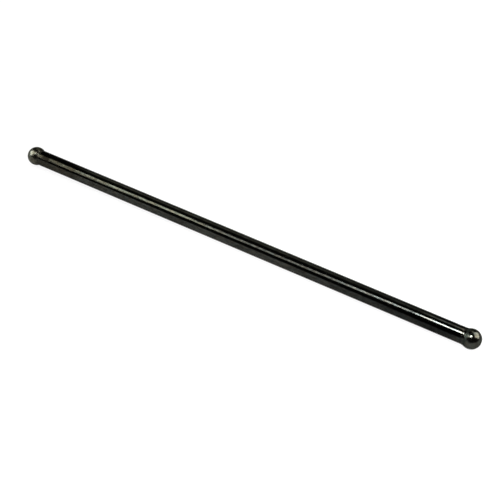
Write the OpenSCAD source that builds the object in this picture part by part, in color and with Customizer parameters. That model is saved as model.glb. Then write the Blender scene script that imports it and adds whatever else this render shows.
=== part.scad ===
// Engine pushrod: a seamless steel tube with a drilled ball end pressed into each of its two ends.
// It lies along X. The lifter ball is centred on the origin and the rocker ball is at the +X end.

/* [Rod] */
// Length over the full round of the two balls, before the oil holes cut their tips
overall_length = 250; // [150:0.5:330]

/* [Tube] */
// Outside diameter of the tube
tube_od = 7.94; // [7.2:0.01:9]
// Thickness of the tube's wall
tube_wall = 1.65; // [1:0.05:2]
// Bevel on the outer and inner edges of the tube's two ends
tube_edge = 0.15; // [0.05:0.05:0.3]

/* [Ball ends] */
// Diameter of the ball that turns in the lifter's cup
lifter_ball_d = 9.53; // [9.3:0.01:12]
// Diameter of the ball that turns in the rocker arm's cup
rocker_ball_d = 9.53; // [9.3:0.01:12]
// Radius of the hollow that runs from the lifter ball down to its neck
lifter_neck_radius = 1; // [0.4:0.1:6]
// Radius of the hollow that runs from the rocker ball down to its neck
rocker_neck_radius = 4.5; // [0.4:0.1:6]
// Straight length of each neck between its hollow and the end of the tube
neck_land = 0.35; // [0.35:0.05:3]
// Bevel on the edge of each neck where it meets the end of the tube
neck_edge = 0.12; // [0.04:0.02:0.3]

/* [Spigots] */
// Length of the spigot that each ball end presses into the tube
spigot_length = 8; // [5:0.5:20]
// Lead-in bevel at the inner end of each spigot
spigot_lead = 0.3; // [0.1:0.05:0.35]
// Gap left all round each spigot inside the tube's bore
spigot_gap = 0.01; // [0:0.005:0.05]

/* [Oil way] */
// Diameter of the oil hole drilled through each ball end
oil_hole_d = 2; // [1:0.1:2.4]
// Bevel round the mouth of each oil hole in the tip of its ball
oil_mouth = 0.3; // [0.1:0.05:0.5]

/* [Hidden] */
$fn = 96;
tube_r = tube_od / 2;
bore_r = tube_r - tube_wall;
spigot_r = bore_r - spigot_gap;
oil_r = oil_hole_d / 2;
lifter_ball_r = lifter_ball_d / 2;
rocker_ball_r = rocker_ball_d / 2;
// Distance between the centres of the two balls
ball_centres = overall_length - lifter_ball_r - rocker_ball_r;
// Distance from each ball's centre to the end of the tube
lifter_seat = hollow_end(lifter_ball_r, lifter_neck_radius) + neck_land;
rocker_seat = hollow_end(rocker_ball_r, rocker_neck_radius) + neck_land;
tube_length = ball_centres - lifter_seat - rocker_seat;
// The hollow is cut this much deeper than a true touch, so that it meets the ball and neck in clean edges
hollow_bite = 0.0005;
steel = [0.09, 0.09, 0.085];
ball_steel = [0.13, 0.13, 0.12];

// Distance from a ball's centre to where its hollow runs out, level with the outside of the tube.
// The hollow is an arc that touches both the ball and the neck without a corner.
// It is taken to the micron below, so that the neck and the end of the tube come out at one plane.
function hollow_end(ball_r, hollow_r) =
    floor(1000 * sqrt(pow(ball_r + hollow_r, 2) - pow(tube_r + hollow_r, 2))) / 1000;

// Half of the tube's section: x is the distance from the axis and y runs along the tube.
module tube_section() {
    polygon([
        [bore_r + tube_edge, 0],
        [tube_r - tube_edge, 0],
        [tube_r, tube_edge],
        [tube_r, tube_length - tube_edge],
        [tube_r - tube_edge, tube_length],
        [bore_r + tube_edge, tube_length],
        [bore_r, tube_length - tube_edge],
        [bore_r, tube_edge]
    ]);
}

// Ball, cut off level with the end of the tube.
module ball_section(ball_r, seat) {
    intersection() {
        circle(r = ball_r);
        translate([0, -ball_r])
            square([ball_r, ball_r + seat]);
    }
}

// Neck under a ball, from the ball's centre down to the end of the tube.
module neck_section(ball_r, hollow_r, seat) {
    run_out = seat - neck_land;
    difference() {
        polygon([
            [0, 0],
            [tube_r + hollow_r, run_out],
            [tube_r, run_out],
            [tube_r, seat - neck_edge],
            [tube_r - neck_edge, seat],
            [0, seat]
        ]);
        translate([tube_r + hollow_r, run_out])
            circle(r = hollow_r + hollow_bite);
    }
}

// Spigot that goes into the tube, starting inside the neck.
module spigot_section(seat) {
    tip = seat + spigot_length;
    polygon([
        [0, seat - neck_edge],
        [spigot_r, seat - neck_edge],
        [spigot_r, tip - spigot_lead],
        [spigot_r - spigot_lead, tip],
        [0, tip]
    ]);
}

// Oil hole along the axis, with a bevelled mouth in the tip of the ball.
module oil_hole_section(ball_r, seat) {
    tip = seat + spigot_length;
    rim = -sqrt(pow(ball_r, 2) - pow(oil_r + oil_mouth, 2));
    polygon([
        [-1, -ball_r - 1],
        [oil_r + oil_mouth + rim + ball_r + 1, -ball_r - 1],
        [oil_r, rim + oil_mouth],
        [oil_r, tip + 1],
        [-1, tip + 1]
    ]);
}

// A ball end with its ball centred on the origin and its spigot along +Z.
module ball_end(ball_r, hollow_r, seat) {
    rotate_extrude()
        difference() {
            union() {
                ball_section(ball_r, seat);
                neck_section(ball_r, hollow_r, seat);
                spigot_section(seat);
            }
            oil_hole_section(ball_r, seat);
        }
}

module tube() {
    color(steel)
        translate([lifter_seat, 0, 0])
            rotate([0, 90, 0])
                rotate_extrude()
                    tube_section();
}

module lifter_ball_end() {
    color(ball_steel)
        rotate([0, 90, 0])
            ball_end(lifter_ball_r, lifter_neck_radius, lifter_seat);
}

module rocker_ball_end() {
    color(ball_steel)
        translate([ball_centres, 0, 0])
            rotate([0, -90, 0])
                ball_end(rocker_ball_r, rocker_neck_radius, rocker_seat);
}

tube();
lifter_ball_end();
rocker_ball_end();
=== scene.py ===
import math

import bmesh
import bpy
from mathutils import Matrix, Vector


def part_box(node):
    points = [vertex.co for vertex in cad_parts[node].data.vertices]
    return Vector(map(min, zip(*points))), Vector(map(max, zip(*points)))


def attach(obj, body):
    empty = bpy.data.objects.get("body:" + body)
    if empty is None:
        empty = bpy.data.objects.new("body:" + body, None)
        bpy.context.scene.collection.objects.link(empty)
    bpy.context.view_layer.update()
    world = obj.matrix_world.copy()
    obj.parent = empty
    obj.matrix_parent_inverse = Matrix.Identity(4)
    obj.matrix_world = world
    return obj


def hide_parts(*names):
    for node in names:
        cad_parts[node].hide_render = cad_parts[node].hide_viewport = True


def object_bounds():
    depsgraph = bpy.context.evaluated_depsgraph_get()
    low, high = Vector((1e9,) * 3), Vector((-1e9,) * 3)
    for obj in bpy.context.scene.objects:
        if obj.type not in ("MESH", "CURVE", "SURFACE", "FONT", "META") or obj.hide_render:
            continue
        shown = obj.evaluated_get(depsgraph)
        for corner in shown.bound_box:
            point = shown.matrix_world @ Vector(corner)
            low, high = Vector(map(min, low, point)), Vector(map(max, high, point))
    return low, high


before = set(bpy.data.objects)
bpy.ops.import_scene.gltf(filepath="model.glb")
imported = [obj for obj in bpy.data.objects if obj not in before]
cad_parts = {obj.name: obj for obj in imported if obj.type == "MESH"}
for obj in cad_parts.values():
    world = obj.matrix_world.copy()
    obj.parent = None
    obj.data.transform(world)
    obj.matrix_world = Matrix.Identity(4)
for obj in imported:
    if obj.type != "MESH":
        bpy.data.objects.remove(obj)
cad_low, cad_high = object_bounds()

# Sizes of the rod in millimetres, as in the CAD source
MM = 0.001
TUBE_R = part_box("tube")[1][2] / MM
TUBE_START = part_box("tube")[0][0] / MM
TUBE_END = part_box("tube")[1][0] / MM
TUBE_WALL = 1.65
TUBE_EDGE = 0.15
BALL_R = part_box("rocker_ball_end")[1][2] / MM
BALL_CENTRES = 240.47
LIFTER_HOLLOW_R = 1.0
ROCKER_HOLLOW_R = 4.5
NECK_LAND = 0.35
NECK_EDGE = 0.12
SPIGOT_LENGTH = 8.0
SPIGOT_LEAD = 0.3
SPIGOT_GAP = 0.01
OIL_R = 1.0
OIL_MOUTH = 0.3

# Fineness of the turned meshes
SEGMENTS = 160
BALL_STEPS = 56
HOLLOW_STEPS = 20
EDGE_STEPS = 6
TUBE_RINGS = 48
# A ring this many millimetres from each eased edge of the tube keeps the shading of its side straight
GUARD = 0.02
SHARP_ANGLE = math.radians(32)


# Meshes made of rings

def join_rings(shape, rings):
    """Faces between each ring of points and the next."""
    for ring, following in zip(rings, rings[1:]):
        for index in range(len(ring)):
            beside = (index + 1) % len(ring)
            shape.faces.new((ring[index], ring[beside], following[beside], following[index]))


def place_mesh(name, shape):
    """Puts the finished mesh into the scene as an object with smooth shading."""
    bmesh.ops.recalc_face_normals(shape, faces=shape.faces)
    mesh = bpy.data.meshes.new(name)
    shape.to_mesh(mesh)
    shape.free()
    mesh.shade_smooth()
    made = bpy.data.objects.new(name, mesh)
    bpy.context.collection.objects.link(made)
    return made


# Turned shapes

def arc(centre, radius, start, end, steps):
    """Points (along, out) on a circle, with the angles measured from the direction along the rod."""
    points = []
    for step in range(steps + 1):
        angle = start + (end - start) * step / steps
        points.append((centre[0] + radius * math.cos(angle), centre[1] + radius * math.sin(angle)))
    return points


def turned_mesh(name, outline):
    """Turns a closed outline of (along, out) points in millimetres round the rod's axis."""
    shape = bmesh.new()
    rings = []
    for along, out in outline:
        ring = []
        for index in range(SEGMENTS):
            angle = 2 * math.pi * index / SEGMENTS
            across = out * math.cos(angle)
            up = out * math.sin(angle)
            ring.append(shape.verts.new((along * MM, across * MM, up * MM)))
        rings.append(ring)
    join_rings(shape, rings + rings[:1])
    piece = place_mesh(name, shape)
    piece.data.set_sharp_from_angle(angle=SHARP_ANGLE)
    return piece


def tube_outline():
    """The tube's wall, with both of its cut ends eased inside and out."""
    bore_r = TUBE_R - TUBE_WALL
    first = TUBE_START + TUBE_EDGE
    last = TUBE_END - TUBE_EDGE
    outer = TUBE_R - TUBE_EDGE
    inner = bore_r + TUBE_EDGE
    outer_first = arc((first, outer), TUBE_EDGE, math.pi, math.pi / 2, EDGE_STEPS)
    outer_last = arc((last, outer), TUBE_EDGE, math.pi / 2, 0, EDGE_STEPS)
    inner_last = arc((last, inner), TUBE_EDGE, 0, -math.pi / 2, EDGE_STEPS)
    inner_first = arc((first, inner), TUBE_EDGE, -math.pi / 2, -math.pi, EDGE_STEPS)
    stations = [first + (last - first) * ring / TUBE_RINGS for ring in range(1, TUBE_RINGS)]
    stations = [first + GUARD] + stations + [last - GUARD]
    outside = [(station, TUBE_R) for station in stations]
    return outer_first + outside + outer_last + inner_last + inner_first


def ball_end_outline(hollow_r):
    """A ball end measured from its ball's centre towards the tube, oil hole and spigot included."""
    run_out = math.sqrt((BALL_R + hollow_r) ** 2 - (TUBE_R + hollow_r) ** 2)
    seat = run_out + NECK_LAND
    tip = seat + SPIGOT_LENGTH
    spigot_r = TUBE_R - TUBE_WALL - SPIGOT_GAP
    mouth_r = OIL_R + OIL_MOUTH
    rim = -math.sqrt(BALL_R ** 2 - mouth_r ** 2)
    touch = math.atan2(TUBE_R + hollow_r, run_out)
    ball = arc((0, 0), BALL_R, math.pi - math.asin(mouth_r / BALL_R), touch, BALL_STEPS)
    hollow = arc((run_out, TUBE_R + hollow_r), hollow_r, touch + math.pi, 1.5 * math.pi, HOLLOW_STEPS)
    edge = arc((seat - NECK_EDGE, TUBE_R - NECK_EDGE), NECK_EDGE, math.pi / 2, 0, EDGE_STEPS)
    spigot = [(seat, spigot_r), (tip - SPIGOT_LEAD, spigot_r), (tip, spigot_r - SPIGOT_LEAD), (tip, OIL_R)]
    return [(rim + OIL_MOUTH, OIL_R)] + ball + hollow[1:] + edge + spigot


def add_piece(name, node, outline, material):
    """Turns a piece that takes the place of one CAD solid."""
    piece = turned_mesh(name, outline)
    piece.data.materials.append(material)
    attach(piece, "root")
    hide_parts(node)


# Node helpers for the materials

def add_node(tree, kind, inputs=None, **settings):
    """A node with its sockets set by name or number; an output socket given as a value is linked."""
    made = tree.nodes.new(kind)
    for key, value in settings.items():
        setattr(made, key, value)
    for key, value in (inputs or {}).items():
        if isinstance(value, bpy.types.NodeSocket):
            tree.links.new(value, made.inputs[key])
        else:
            made.inputs[key].default_value = value
    return made


def maths(tree, operation, first, second):
    return add_node(tree, "ShaderNodeMath", {0: first, 1: second}, operation=operation).outputs[0]


def add_share(tree, total, value, share):
    """The total with a share of another value added."""
    return maths(tree, "ADD", total, maths(tree, "MULTIPLY", value, share))


def rod_position(tree):
    """Place on the rod in millimetres."""
    place = add_node(tree, "ShaderNodeTexCoord").outputs["Object"]
    scaled = add_node(tree, "ShaderNodeVectorMath", {0: place, 3: 1 / MM}, operation="SCALE")
    return scaled.outputs[0]


def noise(tree, position, settings):
    """Noise whose scale may differ along and across the rod."""
    scale, detail, roughness = settings
    stretched = add_node(tree, "ShaderNodeVectorMath", {0: position, 1: scale}, operation="MULTIPLY")
    sockets = {"Vector": stretched.outputs[0], "Scale": 1.0, "Detail": detail, "Roughness": roughness}
    made = add_node(tree, "ShaderNodeTexNoise", sockets)
    return made.outputs["Fac"]


def remap(tree, value, low, high, new_low, new_high):
    """The value taken smoothly from one range to another, and held at its ends."""
    sockets = {"Value": value, "From Min": low, "From Max": high, "To Min": new_low, "To Max": new_high}
    made = add_node(tree, "ShaderNodeMapRange", sockets, interpolation_type="SMOOTHSTEP")
    return made.outputs["Result"]


def mix_colour(tree, factor, first, second, blend="MIX"):
    made = add_node(tree, "ShaderNodeMix", data_type="RGBA", blend_type=blend)
    for socket, value in ((made.inputs[0], factor), (made.inputs[6], first), (made.inputs[7], second)):
        if isinstance(value, bpy.types.NodeSocket):
            tree.links.new(value, socket)
        else:
            socket.default_value = value
    return made.outputs[2]


def band(tree, along, centre, half_width, softness):
    """1 within a stretch of the rod, fading to 0 on both sides of it."""
    offset = maths(tree, "ABSOLUTE", maths(tree, "SUBTRACT", along, centre), 0.0)
    return remap(tree, offset, half_width, half_width + softness, 1.0, 0.0)


# Oxide-black steel, mottled by heat and oil

OXIDE_DARK = (0.0125, 0.0128, 0.0123, 1)
OXIDE_PALE = (0.046, 0.047, 0.045, 1)
TINT_COOL = (0.94, 1.01, 1.03, 1)
TINT_WARM = (1.05, 1.00, 0.94, 1)
EDGE_TINT = (0.5, 0.5, 0.5, 1)
# Noises: scale along and across the rod per millimetre, detail, roughness
PATCHES = ((0.09, 0.4, 0.4), 3.0, 0.55)
GRAIN = ((0.5, 0.9, 0.9), 3.0, 0.6)
FINE_GRAIN = ((1.3, 1.9, 1.9), 3.0, 0.65)
HUE = ((0.4, 0.8, 0.8), 2.0, 0.5)
WAVES = ((0.35, 0.7, 0.7), 2.0, 0.5)
TURNING_LINES = ((9.0, 0.5, 0.5), 2.0, 0.5)
# Shares of the noises in the mottling, and the range of the hue noise that takes the tint from cool to warm
PATCHES_SHARE = 0.2
GRAIN_SHARE = 0.3
FINE_SHARE = 0.5
HUE_LOW = 0.38
HUE_HIGH = 0.62
# Depth of the surface's waves in millimetres, and how much shallower its turning lines are
WAVE_DEPTH = 0.014
LINES_SHARE = 0.05
# The oxide is a little browner towards the lifter end, and darker towards the rocker end as painted shade
# that dims the rod's reflections there
LIFTER_SHADE = (1.0, 1.0, 0.92, 1)
ROCKER_PAINTED_SHADE = (0.42, 0.433, 0.427, 1)
PAINTED_SHADE_START = 140.0
PAINTED_SHADE_END = 225.0
# The oxide is browner and darker beside the lifter ball, in millimetres along the rod
BROWN_SHADE = (0.84, 0.77, 0.70, 1)
BROWN_CENTRE = 15.0
BROWN_HALF = 10.0
BROWN_FADE = 6.0
# The ball ends are rubbed paler towards their tips, in millimetres from each ball's centre towards the tube
LIFTER_RUB_START = 4.2
LIFTER_RUB_END = -2.0
ROCKER_RUB_START = 10.0
ROCKER_RUB_END = -4.2
LIFTER_RUB = (3.0, 2.95, 2.7, 1)
ROCKER_RUB = (3.3, 3.18, 2.85, 1)
# A painted dark reflection on a stretch of the tube's top that breaks its highlight, made rougher too, in
# millimetres along the rod and up from its axis
PAINTED_DARK_COLOUR = (0.0048, 0.0042, 0.0032, 1)
DARK_REFLECTION_CENTRE = 7.8
DARK_REFLECTION_HALF = 1.2
DARK_REFLECTION_FADE = 2.4
DARK_REFLECTION_FROM = 2.4
DARK_REFLECTION_FULL = 3.2
DARK_REFLECTION_STRENGTH = 0.95
DARK_REFLECTION_ROUGHNESS = 0.12
# A ragged ring of scale where the rocker ball runs into its neck, in millimetres along the rod
SCALE_GREY = (0.0165, 0.0200, 0.0165, 1)
SCALE_CENTRE = BALL_CENTRES - 2.02
SCALE_HALF = 0.35
SCALE_FADE = 0.5
SCALE_RAGGED = 1.6
SCALE_ROUGHNESS = 0.24
# Roughness of the dark and the pale oxide
TUBE_ROUGHNESS = (0.06, 0.13)
LIFTER_ROUGHNESS = (0.20, 0.28)
ROCKER_ROUGHNESS = (0.12, 0.20)
# A narrow mottle width makes the mottling strong
TUBE_MOTTLE = 0.22
BALL_MOTTLE = 0.34


def mottling(tree, position, width):
    """0 where the oxide is dark and 1 where it is pale."""
    spread = maths(tree, "MULTIPLY", noise(tree, position, PATCHES), PATCHES_SHARE)
    spread = add_share(tree, spread, noise(tree, position, GRAIN), GRAIN_SHARE)
    spread = add_share(tree, spread, noise(tree, position, FINE_GRAIN), FINE_SHARE)
    return remap(tree, spread, 0.5 - width / 2, 0.5 + width / 2, 0.0, 1.0)


def rub_balls(tree, along, oxide):
    """The oxide made paler towards the tips of the two balls."""
    lifter = remap(tree, along, LIFTER_RUB_END, LIFTER_RUB_START, 1.0, 0.0)
    rocker_start = BALL_CENTRES - ROCKER_RUB_START
    rocker_end = BALL_CENTRES - ROCKER_RUB_END
    rocker = remap(tree, along, rocker_start, rocker_end, 0.0, 1.0)
    oxide = mix_colour(tree, lifter, oxide, LIFTER_RUB, "MULTIPLY")
    return mix_colour(tree, rocker, oxide, ROCKER_RUB, "MULTIPLY")


def oxide_colour(tree, position, along, mottle):
    """The mottled oxide with its slight hues, with painted shade along the rod."""
    warmth = remap(tree, noise(tree, position, HUE), HUE_LOW, HUE_HIGH, 0.0, 1.0)
    painted_shade_ramp = remap(tree, along, PAINTED_SHADE_START, PAINTED_SHADE_END, 0.0, 1.0)
    brown = band(tree, along, BROWN_CENTRE, BROWN_HALF, BROWN_FADE)
    oxide = mix_colour(tree, mottle, OXIDE_DARK, OXIDE_PALE)
    oxide = mix_colour(tree, 1.0, oxide, mix_colour(tree, warmth, TINT_COOL, TINT_WARM), "MULTIPLY")
    # Painted shade: the oxide is darker towards the rocker end
    oxide = mix_colour(tree, 1.0, oxide, mix_colour(tree, painted_shade_ramp, LIFTER_SHADE, ROCKER_PAINTED_SHADE), "MULTIPLY")
    oxide = mix_colour(tree, brown, oxide, BROWN_SHADE, "MULTIPLY")
    return rub_balls(tree, along, oxide)


def painted_dark_reflection(tree, along, up):
    """1 on the painted dark reflection on the tube's top."""
    top = remap(tree, up, DARK_REFLECTION_FROM, DARK_REFLECTION_FULL, 0.0, 1.0)
    return maths(tree, "MULTIPLY", top, band(tree, along, DARK_REFLECTION_CENTRE, DARK_REFLECTION_HALF, DARK_REFLECTION_FADE))


def scale_ring(tree, position, along):
    """1 on the ragged ring of scale."""
    ragged = add_share(tree, along, noise(tree, position, GRAIN), SCALE_RAGGED)
    return band(tree, ragged, SCALE_CENTRE + SCALE_RAGGED / 2, SCALE_HALF, SCALE_FADE)


def fine_relief(tree, position):
    """Slight waves and turning lines in the surface."""
    height = add_share(tree, noise(tree, position, WAVES), noise(tree, position, TURNING_LINES), LINES_SHARE)
    bump = add_node(tree, "ShaderNodeBump", {"Height": height, "Strength": 1.0, "Distance": WAVE_DEPTH * MM})
    return bump.outputs["Normal"]


def oxide_steel(name, mottle_width, roughness):
    """Near-black oxide on steel, whose rims stay dark."""
    material = bpy.data.materials.new(name)
    material.use_nodes = True
    tree = material.node_tree
    position = rod_position(tree)
    parts = add_node(tree, "ShaderNodeSeparateXYZ", {0: position})
    along = parts.outputs[0]
    up = parts.outputs[2]

    mottle = mottling(tree, position, mottle_width)
    dark_mask = painted_dark_reflection(tree, along, up)
    scale = scale_ring(tree, position, along)
    oxide = oxide_colour(tree, position, along, mottle)
    # Painted dark reflection: the tube's top is darkened where its highlight breaks off
    oxide = mix_colour(tree, maths(tree, "MULTIPLY", dark_mask, DARK_REFLECTION_STRENGTH), oxide, PAINTED_DARK_COLOUR)
    oxide = mix_colour(tree, scale, oxide, SCALE_GREY)
    rough = remap(tree, mottle, 0.0, 1.0, roughness[0], roughness[1])
    rough = add_share(tree, rough, dark_mask, DARK_REFLECTION_ROUGHNESS)
    rough = add_share(tree, rough, scale, SCALE_ROUGHNESS)

    shader = tree.nodes["Principled BSDF"]
    tree.links.new(oxide, shader.inputs["Base Color"])
    tree.links.new(rough, shader.inputs["Roughness"])
    tree.links.new(fine_relief(tree, position), shader.inputs["Normal"])
    shader.inputs["Metallic"].default_value = 1.0
    shader.inputs["Specular Tint"].default_value = EDGE_TINT
    return material


# Floor that turns up into a low wall all round, in metres

FLOOR_MIDDLE = 0.4
FLOOR_FLAT = 3.0
FLOOR_SIDES = 96
WALL_BEND = 0.5
WALL_RISE = math.radians(80)
WALL_STEPS = 8
WALL_TOP = (0.05, 0.02)
FLOOR_WHITE = (0.7, 0.7, 0.7, 1)
# Share of the floor's brightness that no shadow reaches, from near the rod to far off
FLOOR_GLOW = 0.9
GLOW_NEAR = 0.25
GLOW_FAR = 0.9


def floor_material():
    """Matt white; the camera and reflections see it evenly bright, with the rod's shadow on it."""
    material = bpy.data.materials.new("floor_white")
    material.use_nodes = True
    tree = material.node_tree
    tree.nodes.clear()
    ray = add_node(tree, "ShaderNodeLightPath")
    seen = maths(tree, "ADD", ray.outputs["Is Camera Ray"], ray.outputs["Is Glossy Ray"])
    seen = maths(tree, "ADD", seen, ray.outputs["Is Transmission Ray"])
    seen = maths(tree, "MINIMUM", seen, 1.0)
    place = add_node(tree, "ShaderNodeTexCoord").outputs["Object"]
    distance = add_node(tree, "ShaderNodeVectorMath", {0: place}, operation="LENGTH").outputs["Value"]
    share = maths(tree, "MULTIPLY", seen, remap(tree, distance, GLOW_NEAR, GLOW_FAR, FLOOR_GLOW, 1.0))
    matt = add_node(tree, "ShaderNodeBsdfDiffuse", {"Color": FLOOR_WHITE})
    glow = add_node(tree, "ShaderNodeEmission", {"Color": (1, 1, 1, 1), "Strength": 1.0})
    mixed = add_node(tree, "ShaderNodeMixShader", {0: share, 1: matt.outputs[0], 2: glow.outputs[0]})
    add_node(tree, "ShaderNodeOutputMaterial", {"Surface": mixed.outputs[0]})
    return material


def floor_section():
    """Points (out, up) from the middle of the floor to the top of its wall."""
    section = [(FLOOR_MIDDLE, 0.0), (FLOOR_FLAT, 0.0)]
    for step in range(1, WALL_STEPS + 1):
        angle = WALL_RISE * step / WALL_STEPS
        section.append((FLOOR_FLAT + WALL_BEND * math.sin(angle), WALL_BEND * (1 - math.cos(angle))))
    section.append((section[-1][0] + WALL_TOP[0], section[-1][1] + WALL_TOP[1]))
    return section


def add_floor(height):
    """A round floor whose edge bends up into a low wall."""
    shape = bmesh.new()
    rings = []
    for radius, rise in floor_section():
        ring = []
        for index in range(FLOOR_SIDES):
            angle = 2 * math.pi * index / FLOOR_SIDES
            ring.append(shape.verts.new((radius * math.cos(angle), radius * math.sin(angle), height + rise)))
        rings.append(ring)
    shape.faces.new(rings[0])
    join_rings(shape, rings)
    floor = place_mesh("floor", shape)
    floor.data.materials.append(floor_material())


# Lamps, flat and evenly bright: 1 is as bright as a fully lit white sheet, places and sizes are in metres

CEILING = 0.864
LIFTER_END = (0.0, 0.0, 0.0)
ROCKER_END = (0.235, 0.0, 0.0)
WHITE = (1.0, 1.0, 1.0)
WARM = (1.0, 0.97, 0.9)
OLIVE = (1.0, 0.99, 0.86)
ROOM_GREY = (0.03, 0.03, 0.03, 1)
# Lamps whose narrow beam shows at the rocker end and hardly at the lifter end:
# name, place, width, height, angle of the beam in degrees, brightness, colour
BEAMS = (
    ("key_above_rocker_end", (0.18, -0.218, CEILING), 0.2, 0.23, 27, 3.75, WHITE),
    ("beam_behind_tube_end", (0.05, 1.03, 1.18), 0.16, 0.64, 24, 0.12, OLIVE),
)
# Strips overhead: name, from and to along the rod, from and to across it, brightness, colour
STRIPS = (
    ("strip_beside_key", -0.005, 0.086, -0.345, -0.085, 21.8, WHITE),
    ("strip_next_inwards", -0.062, -0.005, -0.478, -0.142, 9.9, WHITE),
    ("strip_above_middle", -0.274, -0.062, -0.54, -0.145, 4.2, WHITE),
    ("strip_above_lifter_end", -0.48, -0.274, -0.52, -0.085, 9.6, OLIVE),
    ("strip_past_lifter_end", -0.624, -0.48, -0.75, 0.03, 4.2, OLIVE),
)
# Panels at the sides: name, place, aim, width, height, brightness, colour
PANELS = (
    ("panel_past_lifter_end", (-0.835, -0.3, 0.56), (0.0, -0.2, 0.0), 0.86, 0.595, 9.0, WHITE),
    ("panel_behind_rocker_end", (0.72, 0.48, 0.576), ROCKER_END, 0.95, 0.816, 9.2, WARM),
    ("panel_behind_tube", (-0.4, 1.205, 0.83), (-0.4, 0.0, 0.0), 0.8, 0.85, 0.72, OLIVE),
    ("panel_low_in_front", (-0.72, -1.728, 0.346), LIFTER_END, 1.152, 0.384, 0.9, WHITE),
)


def add_lamp(name, place, width, height, brightness, colour):
    lamp = bpy.data.lights.new(name, "AREA")
    lamp.shape = "RECTANGLE"
    lamp.size = width
    lamp.size_y = height
    lamp.energy = brightness * math.pi * width * height
    lamp.color = colour
    holder = bpy.data.objects.new(name, lamp)
    holder.location = place
    holder.visible_camera = False
    bpy.context.collection.objects.link(holder)
    return holder


def add_beams():
    """Each lamp faces the rocker end, with its width along the rod."""
    for name, place, width, height, beam, brightness, colour in BEAMS:
        holder = add_lamp(name, place, width, height, brightness, colour)
        holder.data.spread = math.radians(beam)
        back = (Vector(place) - Vector(ROCKER_END)).normalized()
        across = back.cross(Vector((1, 0, 0))).normalized()
        holder.rotation_euler = Matrix((across.cross(back), across, back)).transposed().to_euler()


def add_strips():
    """Lamps in the ceiling that face straight down."""
    for name, start, end, front, back, brightness, colour in STRIPS:
        place = ((start + end) / 2, (front + back) / 2, CEILING)
        add_lamp(name, place, end - start, back - front, brightness, colour)


def add_panels():
    for name, place, aim, width, height, brightness, colour in PANELS:
        panel = add_lamp(name, place, width, height, brightness, colour)
        panel.rotation_euler = (Vector(aim) - Vector(place)).to_track_quat("-Z", "Y").to_euler()


def set_world():
    world = bpy.data.worlds.new("dim_room")
    world.use_nodes = True
    background = world.node_tree.nodes["Background"]
    background.inputs["Color"].default_value = ROOM_GREY
    background.inputs["Strength"].default_value = 1.0
    bpy.context.scene.world = world


# Camera

CAMERA_PLACE = (0.29302, -0.29167, 0.37081)
CAMERA_AZIMUTH = math.radians(29.585)
CAMERA_ELEVATION = math.radians(48.109)
CAMERA_LENS = 75.0
CAMERA_SENSOR = 36.0
CAMERA_NEAR = 0.01
CAMERA_FAR = 50.0


def add_camera():
    data = bpy.data.cameras.new("camera")
    data.lens = CAMERA_LENS
    data.sensor_width = CAMERA_SENSOR
    data.clip_start = CAMERA_NEAR
    data.clip_end = CAMERA_FAR
    camera = bpy.data.objects.new("camera", data)
    camera.location = CAMERA_PLACE
    camera.rotation_euler = (math.pi / 2 - CAMERA_ELEVATION, 0.0, CAMERA_AZIMUTH)
    bpy.context.collection.objects.link(camera)
    bpy.context.scene.camera = camera


# The rod

tube_steel = oxide_steel("tube_oxide", TUBE_MOTTLE, TUBE_ROUGHNESS)
lifter_steel = oxide_steel("lifter_ball_oxide", BALL_MOTTLE, LIFTER_ROUGHNESS)
rocker_steel = oxide_steel("rocker_ball_oxide", BALL_MOTTLE, ROCKER_ROUGHNESS)
lifter_outline = ball_end_outline(LIFTER_HOLLOW_R)
rocker_outline = [(BALL_CENTRES - along, out) for along, out in ball_end_outline(ROCKER_HOLLOW_R)]
add_piece("tube_turned", "tube", tube_outline(), tube_steel)
add_piece("lifter_ball_turned", "lifter_ball_end", lifter_outline, lifter_steel)
add_piece("rocker_ball_turned", "rocker_ball_end", rocker_outline, rocker_steel)

# The stage

add_floor(cad_low[2])
add_beams()
add_strips()
add_panels()
set_world()
add_camera()
bpy.context.scene.view_settings.view_transform = "Standard"
